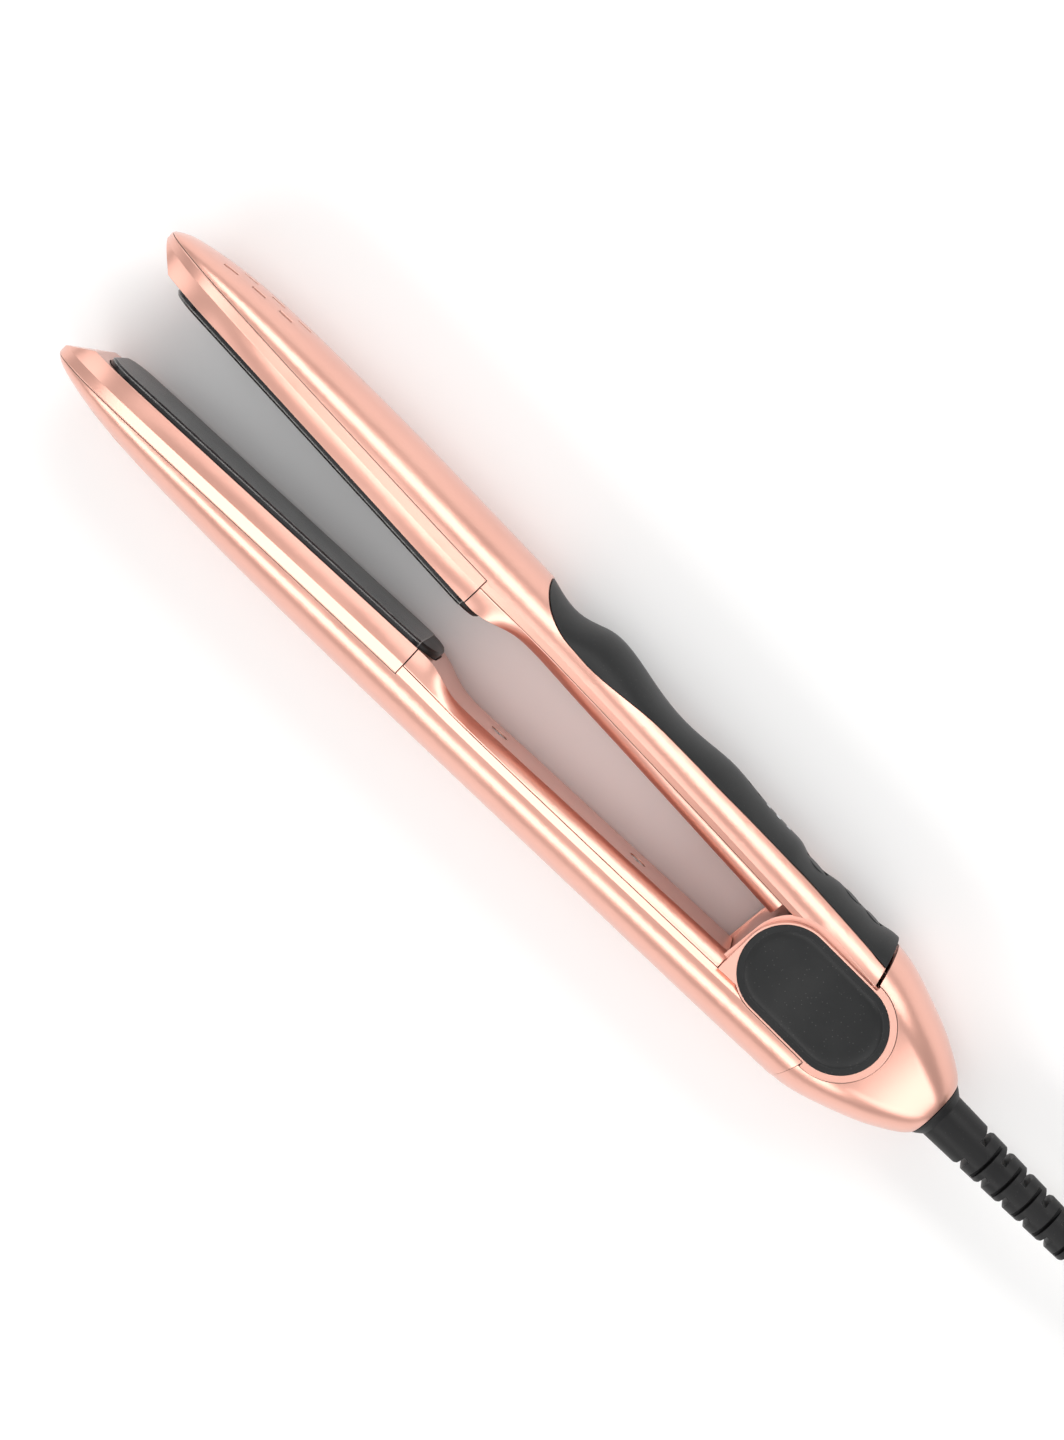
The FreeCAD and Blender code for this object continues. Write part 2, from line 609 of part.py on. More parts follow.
def board_parts():
    # Relay, capacitor and connector on the board's inner side.
    relay = box(-90, -76, -BOARD_N, -8.6, 1.5, 8.5)
    capacitor = cylinder(2.3, Vector(-71, -11.3, -7), Z, 10)
    connector = box(-53, -46, -BOARD_N, -9.5, -5, 5)
    return Part.makeCompound([relay, capacitor, connector])


def tact_switches():
    top = BOARD_N + BOARD_THICKNESS
    switches = []
    for s, _ in BUTTONS.values():
        body = box(-s - 2.2, -s + 2.2, -top - 1.3, -top, -2.2, 2.2)
        switches.append(body.fuse(cylinder(0.9, Vector(-s, -top - 1.3, 0), -Y, 0.3)))
    return Part.makeCompound(switches)


def button(s, radius):
    # A key with a rounded rim and a collar under the shell, so that it can't fall out.
    top = along(GRIP_TOP, s) + 0.1
    stem = cylinder(radius, Vector(-s, -BUTTON_FOOT, 0), -Y, top - BUTTON_FOOT)
    rim = [e for e in stem.Edges if abs(e.CenterOfMass.y + top) < 0.01]
    collar = cylinder(radius + 0.6, Vector(-s, -BUTTON_FOOT, 0), -Y, 0.6)
    return stem.makeFillet(0.5, rim).fuse(collar)


def indicator_window():
    # Row of light-pipe dots on a bar behind the shell.
    dots = []
    for s in WINDOW_PLACES:
        dots.append(cylinder(0.8, Vector(-s, -16.4, 0), -Y, along(GRIP_TOP, s) - 16.4 - 0.02))
    last, first = -WINDOW_PLACES[-1] - 1.5, -WINDOW_PLACES[0] + 1.5
    bar = box(last, first, -17.2, -BOARD_N - BOARD_THICKNESS, -1.6, 1.6)
    return fused([bar, *dots])


def control_openings():
    holes = [cylinder(r + BUTTON_GAP, Vector(-s, -16, 0), -Y, 12) for s, r in BUTTONS.values()]
    holes += [cylinder(0.85, Vector(-s, -16, 0), -Y, 12) for s in WINDOW_PLACES]
    return fused(holes)


# ---- grip on the upper arm ----
GRIP_STATIONS = [-4, 2, 3.6, 5.5, 8, 11, 14, 17, 20.5, 24, 26, 28, 29.6, 31.2, 32.8, 34.5, 36.2,
                 38, 41, 50, 69, 90, 110, 127, 131]


def half_round(s, width, rise):
    centre = Vector(-s, -along(CREASE, s), 0)
    ellipse = Part.Ellipse(centre + Z * width, centre - Y * rise, centre)
    dome = Part.ArcOfEllipse(ellipse, 0, math.pi).toShape()
    return Part.Wire([dome, line(centre + Z * width, centre - Z * width)])


def grip_outer_section(s):
    return half_round(s, along(HALF_WIDTH, s) + 0.02, along(GRIP_TOP, s) - along(CREASE, s))


def grip_floor_section(s):
    # The floor under the grip, a constant depth below the arm's own outline.
    top = min(along(OUTER, s), along(GRIP_TOP, s))
    return half_round(s, along(HALF_WIDTH, s) - GRIP_DEPTH, top - along(CREASE, s) - GRIP_DEPTH)


def grip_area(grow):
    # Side view of what the grip covers, from its lower edge outwards.
    stations = [-5, 8, 25, 45, 64, 76, 84, 90, 96, 101, 105, 109, 113, 117, 120, 123, 125, GRIP_FRONT]
    curve = [(-s - (grow if s > 110 else 0), -along(GRIP_EDGE, s) + grow) for s in stations]
    return side_prism(curve, [(-GRIP_FRONT - grow, -30), (5, -30)], 20)


def grip_pair():
    # The grip, and the room it needs in the shell.
    outer = lofted([grip_outer_section(s) for s in GRIP_STATIONS])
    floor = lofted([grip_floor_section(s) for s in GRIP_STATIONS])
    grip = outer.common(grip_area(0)).cut(floor).cut(control_openings())
    return grip, grip_area(HAIRLINE).cut(floor)


# ---- cord, its coil and its plug ----
def rounded_path(points):
    # Straight runs joined by tangent arcs, each as large as its two runs allow.
    corners = [Vector(*p) for p in points]
    edges, start, radii = [], corners[0], []
    for before, corner, after in zip(corners, corners[1:], corners[2:]):
        to, away = (corner - before).normalize(), (after - corner).normalize()
        half_turn = to.getAngle(away) / 2
        reach = 0.45 * min((corner - before).Length, (after - corner).Length)
        radius = reach / math.tan(half_turn)
        inward = (away - to).normalize()
        middle = corner + inward * (radius / math.cos(half_turn) - radius)
        first, last = corner - to * reach, corner + away * reach
        edges += [line(start, first), Part.Arc(first, middle, last).toShape()]
        start = last
        radii.append(radius)
    edges.append(line(start, corners[-1]))
    return Part.Wire(edges), radii


def cord_tube(name, points):
    path, radii = rounded_path(points)
    first = Vector(*points[1]) - Vector(*points[0])
    ring = Part.Wire(Part.makeCircle(CORD_RADIUS, Vector(*points[0]), first))
    tube = path.makePipeShell([ring], True, True)
    expected = math.pi * CORD_RADIUS**2 * path.Length
    share = tube.Volume / expected
    print(f"{name}: length {path.Length:.1f}, volume {share:.3f} of section x length")
    print(f"{name}: arc radii", [round(r) for r in radii])
    return tube


def hank_outline(radius, z0, z1):
    # A slot shape with its two ends at the ends of the hank's straight runs.
    front, back = HANK_FRONT, HANK_FRONT + HANK_STRAIGHT
    near = Part.Arc(Vector(front, radius, z0), Vector(front - radius, 0, z0), Vector(front, -radius, z0))
    far = Part.Arc(Vector(back, -radius, z0), Vector(back + radius, 0, z0), Vector(back, radius, z0))
    sides = [line(Vector(front, -radius, z0), Vector(back, -radius, z0)),
             line(Vector(back, radius, z0), Vector(front, radius, z0))]
    outline = Part.Wire([near.toShape(), sides[0], far.toShape(), sides[1]])
    return Part.Face(outline).extrude(Z * (z1 - z0))


def hank_size():
    # Inner and outer radius of the folds, and the height of all the layers.
    inner = HANK_FOLD_RADIUS - CORD_RADIUS
    return inner, inner + HANK_COLUMNS * 2 * CORD_RADIUS, HANK_LAYERS * 2 * CORD_RADIUS


def cord_hank():
    inner, outer, top = hank_size()
    return hank_outline(outer, 0, top).cut(hank_outline(inner, -1, top + 1))


def cord_tie():
    # Strap round one side of the hank.
    inner, outer, top = hank_size()
    bar = box(TIE_X - 5, TIE_X + 5, -outer - 0.9, -inner + 0.9, 0, top + 0.9)
    return bar.cut(hank_outline(outer, -1, top).cut(hank_outline(inner, -2, top + 1)))


PLUG_Y, PLUG_Z = END_ROUTE[-1][1], END_ROUTE[-1][2]
PLUG_SLEEVE_X = END_ROUTE[-1][0]
PLUG_BODY_X = 131.0
PLUG_FACE_X = 97.0
PLUG_HALF_WIDTH = 12.5


def plug_sleeve():
    profile = [(PLUG_BODY_X, 5.6), (PLUG_BODY_X + 4, 5.4), (PLUG_SLEEVE_X, 4.3)]
    sleeve = turned(profile)
    grooves = [cylinder(9, Vector(PLUG_BODY_X + 6 + 4 * k, 0, 0), X, 1.2).cut(
        cylinder(4.0, Vector(PLUG_BODY_X + 6 + 4 * k, 0, 0), X, 1.2)) for k in range(4)]
    sleeve = sleeve.cut(Part.makeCompound(grooves))
    sleeve.translate(Vector(0, PLUG_Y, PLUG_Z))
    return sleeve


def plug_body():
    # Moulded body that tapers from the face to the sleeve.
    wide, narrow = PLUG_HALF_WIDTH, 7.0
    points = [(PLUG_FACE_X, wide), (PLUG_FACE_X + 14, wide), (PLUG_BODY_X, narrow), (PLUG_BODY_X, -narrow),
              (PLUG_FACE_X + 14, -wide), (PLUG_FACE_X, -wide)]
    body = prism([(x, y + PLUG_Y) for x, y in points], 0, 2 * PLUG_Z)
    long_edges = [e for e in body.Edges if abs(e.tangentAt(e.FirstParameter).z) < 0.01]
    return body.makeFillet(2.0, long_edges)


def plug_pins():
    pins = []
    for way in (1, -1):
        y = PLUG_Y + way * 6.35
        pins.append(box(PLUG_FACE_X - 17, PLUG_FACE_X, y - 0.75, y + 0.75, PLUG_Z - 3.15, PLUG_Z + 3.15))
    return Part.makeCompound(pins)


# ---- assembly ----
def export(name, shape, lift=MID_Z):
    shape = shape.copy()
    shape.translate(Z * lift)
    solids = shape.Solids
    kept = solids[0] if len(solids) == 1 else Part.makeCompound(solids)
    kept.exportStep(f"parts/{name}.step")
    lost = "" if solids and all(one.isValid() for one in solids) else "  NOT VALID"
    print(f"{name:22s} {len(solids)} solid  {kept.Volume:9.1f} mm3{lost}")


def export_lower_arm():
    envelope, cavity = arm_envelope(), arm_cavity([(0, WALL), (1, WALL)])
    room = hub_profile(-20, 20, HAIRLINE)
    shell = lower_place(arm_shell(envelope, cavity)).cut(room)
    export("lower_shell", shell.common(tail_front(HAIRLINE)))
    export("lower_plate_frame", lower_place(plate_frame(envelope, cavity)))
    export("lower_inner_cover", lower_place(inner_cover(envelope, cavity)).cut(room))
    export("lower_heater_leads", lower_place(heater_leads(26)))


def export_upper_arm():
    envelope, cavity = arm_envelope(), arm_cavity(UPPER_ROOF)
    grip, grip_room = grip_pair()
    room = hub_sweep(-20, 20, HUB_CLEARANCE)
    ahead = tail_front(STOP_GAP)
    shell = arm_shell(envelope, cavity).fuse(fused(bracket_posts())).cut(grip_room).cut(control_openings())
    export("upper_shell", upper_place(shell).cut(room).common(ahead))
    export("upper_plate_frame", upper_place(plate_frame(envelope, cavity)))
    export("upper_inner_cover", upper_place(inner_cover(envelope, cavity)).cut(room))
    export("soft_grip", upper_place(grip).common(ahead))
    export("upper_heater_leads", upper_place(heater_leads(112.5)))
    export("hinge_bracket", upper_place(hinge_bracket()))
    export("bracket_screws", upper_place(bracket_screws()))
    export("control_board", upper_place(control_board()))
    export("board_parts", upper_place(board_parts()))
    export("tact_switches", upper_place(tact_switches()))
    export("indicator_window", upper_place(indicator_window()))
    for name, (s, radius) in BUTTONS.items():
        export(name, upper_place(button(s, radius)))


def export_plate_ends():
    for side, place in (("lower", lower_place), ("upper", upper_place)):
        export(f"{side}_plate", place(plate()))
        export(f"{side}_plate_cap", place(plate_cap()))
        export(f"{side}_heater", place(heater()))
        export(f"{side}_heater_clip", place(heater_clip()))
        export(f"{side}_thermistor", place(thermistor()))
        export(f"{side}_plate_springs", place(plate_springs()))
        export(f"{side}_spring_bar", place(spring_bar()))
        export(f"{side}_cover_screws", place(cover_screws()))


def export_hinge_and_tail():
    cavity = tail_cavity()
    export("hinge_hub", hinge_hub())
    export("hinge_pad_top", hinge_pad())
    export("hinge_pad_bottom", hinge_pad().mirror(ORIGIN, Z))
    export("hinge_pin", hinge_pin())
    export("hinge_washers", hinge_washers())
    export("hinge_spring", hinge_spring())
    export("tail_housing", tail_housing(cavity))
    export("swivel_contacts", swivel_contacts(cavity))
    export("swivel_head", swivel_head())
    export("cord_boot", cord_boot())


def export_cord():
    export("cord_lead", cord_tube("cord_lead", LEAD_ROUTE), 0)
    export("cord_end", cord_tube("cord_end", END_ROUTE), 0)
    export("cord_hank", cord_hank(), 0)
    export("cord_tie", cord_tie(), 0)
    export("plug_sleeve", plug_sleeve(), 0)
    export("plug_body", plug_body(), 0)
    export("plug_pins", plug_pins(), 0)


export_lower_arm()
export_upper_arm()
export_plate_ends()
export_hinge_and_tail()
export_cord()
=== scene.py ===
import json
import math

import bmesh
import bpy
from mathutils import Matrix, Vector


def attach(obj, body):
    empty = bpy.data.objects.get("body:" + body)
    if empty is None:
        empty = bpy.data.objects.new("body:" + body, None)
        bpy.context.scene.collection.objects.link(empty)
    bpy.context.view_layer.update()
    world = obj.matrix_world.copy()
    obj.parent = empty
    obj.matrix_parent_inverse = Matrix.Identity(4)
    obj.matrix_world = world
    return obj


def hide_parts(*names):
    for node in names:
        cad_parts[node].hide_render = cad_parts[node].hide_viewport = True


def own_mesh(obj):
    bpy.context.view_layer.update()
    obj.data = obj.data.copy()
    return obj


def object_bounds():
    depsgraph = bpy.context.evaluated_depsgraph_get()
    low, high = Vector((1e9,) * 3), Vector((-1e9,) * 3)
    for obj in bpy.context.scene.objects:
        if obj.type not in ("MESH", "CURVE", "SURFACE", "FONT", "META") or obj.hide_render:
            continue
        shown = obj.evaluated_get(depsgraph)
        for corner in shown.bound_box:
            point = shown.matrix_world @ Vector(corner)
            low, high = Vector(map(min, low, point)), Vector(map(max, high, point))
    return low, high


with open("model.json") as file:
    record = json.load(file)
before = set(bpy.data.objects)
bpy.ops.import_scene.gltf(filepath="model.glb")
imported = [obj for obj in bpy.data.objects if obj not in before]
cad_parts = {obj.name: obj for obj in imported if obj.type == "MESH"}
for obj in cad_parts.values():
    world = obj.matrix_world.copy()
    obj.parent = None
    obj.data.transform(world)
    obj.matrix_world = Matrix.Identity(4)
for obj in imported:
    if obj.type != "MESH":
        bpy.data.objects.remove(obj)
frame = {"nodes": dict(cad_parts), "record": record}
cadLow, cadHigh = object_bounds()
nodes = frame["nodes"]


# the view from above, turned so that the iron runs from upper left to lower right

cameraView = {
    "target": (-0.1043, -0.00196, 0.0164),
    "distance": 0.740,
    "lean": 8.2,            # degrees from straight down, towards +Y
    "sensor": 24.0,
    "nearEnd": 0.01,
    "farEnd": 20.0,
    "tallSide": 0.3528,     # metres seen from top to bottom at the target
    "acrossX": 0.7096,      # how much of the picture's right hand is +X
    "acrossY": 0.7046,
}


def addCamera(view):
    lean = math.radians(view["lean"])
    back = Vector((0, math.sin(lean), math.cos(lean)))
    side = Vector((0, math.cos(lean), -math.sin(lean)))
    right = (view["acrossX"] * Vector((1, 0, 0)) + view["acrossY"] * side).normalized()
    up = back.cross(right).normalized()
    data = bpy.data.cameras.new("studioCamera")
    data.sensor_fit = "VERTICAL"
    data.sensor_height = view["sensor"]
    data.lens = view["sensor"] * view["distance"] / view["tallSide"]
    data.clip_start = view["nearEnd"]
    data.clip_end = view["farEnd"]
    camera = bpy.data.objects.new("studioCamera", data)
    bpy.context.scene.collection.objects.link(camera)
    place = Vector(view["target"]) + back * view["distance"]
    turn = Matrix((right, up, back)).transposed().to_4x4()
    camera.matrix_world = Matrix.Translation(place) @ turn
    bpy.context.scene.camera = camera


addCamera(cameraView)
print("camera placed")


# node groups that several finishes share

grainLook = {
    "fineDetail": 3.0,
    "fineRoughness": 0.6,
    "broadDetail": 2.0,
    "patchLow": 0.3,        # the noise stays mostly between these two values
    "patchHigh": 0.7,
}
# settings of the edge mask, which paints rubbed wear and, on the plates, a painted highlight line
wearAndHighlightLook = {"samples": 4, "scale": 420.0, "detail": 4.0, "gain": 14.0}
dustLook = {
    "cloudScale": 55.0,
    "cloudDetail": 6.0,
    "speckScale": 900.0,
    "speckSize": 0.13,
    "cloudStart": 0.45,
    "cloudShare": 0.6,
    "tone": (0.62, 0.60, 0.57),
}
brushedLook = {"scale": 1.0, "detail": 2.0, "roughShare": 0.06}


def newGroup(name, inputs, outputs):
    group = bpy.data.node_groups.new(name, "ShaderNodeTree")
    for label, kind, value in inputs:
        socket = group.interface.new_socket(label, in_out="INPUT", socket_type=kind)
        if value is not None:
            socket.default_value = value
    for label, kind in outputs:
        group.interface.new_socket(label, in_out="OUTPUT", socket_type=kind)
    return group, group.nodes.new("NodeGroupInput"), group.nodes.new("NodeGroupOutput")


def addNode(tree, kind, **settings):
    node = tree.nodes.new(kind)
    for key, value in settings.items():
        setattr(node, key, value)
    return node


def addMath(tree, operation, first, second=None, clamp=False):
    node = addNode(tree, "ShaderNodeMath", operation=operation, use_clamp=clamp)
    for socket, value in zip(node.inputs, (first, second)):
        if value is None:
            continue
        if hasattr(value, "is_linked"):
            tree.links.new(value, socket)
        else:
            socket.default_value = value
    return node.outputs[0]


def buildFineGrain():
    # even moulded or sprayed grain, with a broad slow change over it
    group, inside, outside = newGroup(
        "fineGrain",
        [("Place", "NodeSocketVector", None), ("Size", "NodeSocketFloat", 0.0004),
         ("Spread", "NodeSocketFloat", 0.03)],
        [("Grain", "NodeSocketFloat"), ("Patch", "NodeSocketFloat")])
    fine = addNode(group, "ShaderNodeTexNoise")
    fine.inputs["Detail"].default_value = grainLook["fineDetail"]
    fine.inputs["Roughness"].default_value = grainLook["fineRoughness"]
    group.links.new(inside.outputs["Place"], fine.inputs["Vector"])
    group.links.new(addMath(group, "DIVIDE", 1.0, inside.outputs["Size"]), fine.inputs["Scale"])
    broad = addNode(group, "ShaderNodeTexNoise")
    broad.inputs["Detail"].default_value = grainLook["broadDetail"]
    group.links.new(inside.outputs["Place"], broad.inputs["Vector"])
    group.links.new(addMath(group, "DIVIDE", 1.0, inside.outputs["Spread"]), broad.inputs["Scale"])
    group.links.new(fine.outputs[0], outside.inputs["Grain"])
    group.links.new(broad.outputs[0], outside.inputs["Patch"])
    return group


def buildEdgeWearAndHighlight():
    # a mask that is 1 on sharp outer edges, broken up so that it looks handled; it lays on rubbed wear,
    # and on the plates a painted highlight line
    group, inside, outside = newGroup(
        "edgeWearAndHighlight",
        [("Place", "NodeSocketVector", None), ("Width", "NodeSocketFloat", 0.0004),
         ("Amount", "NodeSocketFloat", 0.5)],
        [("WearAndHighlight", "NodeSocketFloat"), ("Rounded", "NodeSocketVector")])
    bevel = addNode(group, "ShaderNodeBevel", samples=wearAndHighlightLook["samples"])
    group.links.new(inside.outputs["Width"], bevel.inputs["Radius"])
    shape = addNode(group, "ShaderNodeNewGeometry")
    dot = addNode(group, "ShaderNodeVectorMath", operation="DOT_PRODUCT")
    group.links.new(bevel.outputs[0], dot.inputs[0])
    group.links.new(shape.outputs["Normal"], dot.inputs[1])
    bent = addMath(group, "SUBTRACT", 1.0, dot.outputs["Value"], clamp=True)
    noise = addNode(group, "ShaderNodeTexNoise")
    noise.inputs["Scale"].default_value = wearAndHighlightLook["scale"]
    noise.inputs["Detail"].default_value = wearAndHighlightLook["detail"]
    group.links.new(inside.outputs["Place"], noise.inputs["Vector"])
    broken = addMath(group, "MULTIPLY", bent, noise.outputs[0])
    strong = addMath(group, "MULTIPLY", broken, wearAndHighlightLook["gain"], clamp=True)
    wearAndHighlight = addMath(group, "MULTIPLY", strong, inside.outputs["Amount"])
    group.links.new(wearAndHighlight, outside.inputs["WearAndHighlight"])
    group.links.new(bevel.outputs[0], outside.inputs["Rounded"])
    return group


def buildDustFilm():
    # thin dust that settles where the surface looks up
    group, inside, outside = newGroup(
        "dustFilm",
        [("Place", "NodeSocketVector", None), ("Amount", "NodeSocketFloat", 0.1)],
        [("Dust", "NodeSocketFloat")])
    cloud = addNode(group, "ShaderNodeTexNoise")
    cloud.inputs["Scale"].default_value = dustLook["cloudScale"]
    cloud.inputs["Detail"].default_value = dustLook["cloudDetail"]
    group.links.new(inside.outputs["Place"], cloud.inputs["Vector"])
    speck = addNode(group, "ShaderNodeTexVoronoi")
    speck.inputs["Scale"].default_value = dustLook["speckScale"]
    group.links.new(inside.outputs["Place"], speck.inputs["Vector"])
    dots = addMath(group, "LESS_THAN", speck.outputs["Distance"], dustLook["speckSize"])
    both = addMath(group, "MULTIPLY", dots, cloud.outputs[0])
    thick = addMath(group, "SUBTRACT", cloud.outputs[0], dustLook["cloudStart"], clamp=True)
    soft = addMath(group, "MULTIPLY", thick, dustLook["cloudShare"])
    total = addMath(group, "ADD", both, soft)
    up = addNode(group, "ShaderNodeSeparateXYZ")
    shape = addNode(group, "ShaderNodeNewGeometry")
    group.links.new(shape.outputs["Normal"], up.inputs[0])
    lying = addMath(group, "MULTIPLY", addMath(group, "MAXIMUM", up.outputs["Z"], 0.0), total)
    group.links.new(addMath(group, "MULTIPLY", lying, inside.outputs["Amount"]), outside.inputs["Dust"])
    return group


def buildBrushed():
    # fine scratches that run along X, as on a drawn strip or a ground plate
    group, inside, outside = newGroup(
        "brushedLines",
        [("Place", "NodeSocketVector", None), ("Length", "NodeSocketFloat", 12.0),
         ("Width", "NodeSocketFloat", 1600.0)],
        [("Lines", "NodeSocketFloat")])
    parts = addNode(group, "ShaderNodeSeparateXYZ")
    group.links.new(inside.outputs["Place"], parts.inputs[0])
    joined = addNode(group, "ShaderNodeCombineXYZ")
    for axis, factor in (("X", "Length"), ("Y", "Width"), ("Z", "Width")):
        scaled = addMath(group, "MULTIPLY", parts.outputs[axis], inside.outputs[factor])
        group.links.new(scaled, joined.inputs[axis])
    noise = addNode(group, "ShaderNodeTexNoise")
    noise.inputs["Scale"].default_value = brushedLook["scale"]
    noise.inputs["Detail"].default_value = brushedLook["detail"]
    group.links.new(joined.outputs[0], noise.inputs["Vector"])
    group.links.new(noise.outputs[0], outside.inputs["Lines"])
    return group


groups = {
    "fineGrain": buildFineGrain(),
    "edgeWearAndHighlight": buildEdgeWearAndHighlight(),
    "dustFilm": buildDustFilm(),
    "brushedLines": buildBrushed(),
}
print("shared node groups made")


def useGroup(tree, name, place, **values):
    node = addNode(tree, "ShaderNodeGroup", node_tree=groups[name])
    tree.links.new(place, node.inputs["Place"])
    for key, value in values.items():
        node.inputs[key].default_value = value
    return node


def mixColor(tree, factor, first, second):
    node = addNode(tree, "ShaderNodeMix", data_type="RGBA")
    for socket, value in ((node.inputs[0], factor), (node.inputs[6], first), (node.inputs[7], second)):
        if hasattr(value, "is_linked"):
            tree.links.new(value, socket)
        else:
            socket.default_value = (*value, 1.0)
    return node.outputs[2]


def spreadValue(tree, value, low, high):
    node = addNode(tree, "ShaderNodeMapRange")
    tree.links.new(value, node.inputs["Value"])
    node.inputs["From Min"].default_value = grainLook["patchLow"]
    node.inputs["From Max"].default_value = grainLook["patchHigh"]
    node.inputs["To Min"].default_value = low
    node.inputs["To Max"].default_value = high
    return node.outputs[0]


def newFinish(name):
    material = bpy.data.materials.new(name)
    material.use_nodes = True
    tree = material.node_tree
    shader = tree.nodes["Principled BSDF"]
    place = addNode(tree, "ShaderNodeTexCoord").outputs["Object"]
    return material, tree, shader, place


def bumpFrom(tree, height, distance, normal):
    node = addNode(tree, "ShaderNodeBump")
    node.inputs["Strength"].default_value = 1.0
    node.inputs["Distance"].default_value = distance
    tree.links.new(height, node.inputs["Height"])
    tree.links.new(normal, node.inputs["Normal"])
    return node.outputs[0]


# every solid finish is one entry here: two colours, what shows on its sharp edges (rubbed wear, and on the
# plates a painted highlight line), and how it shines

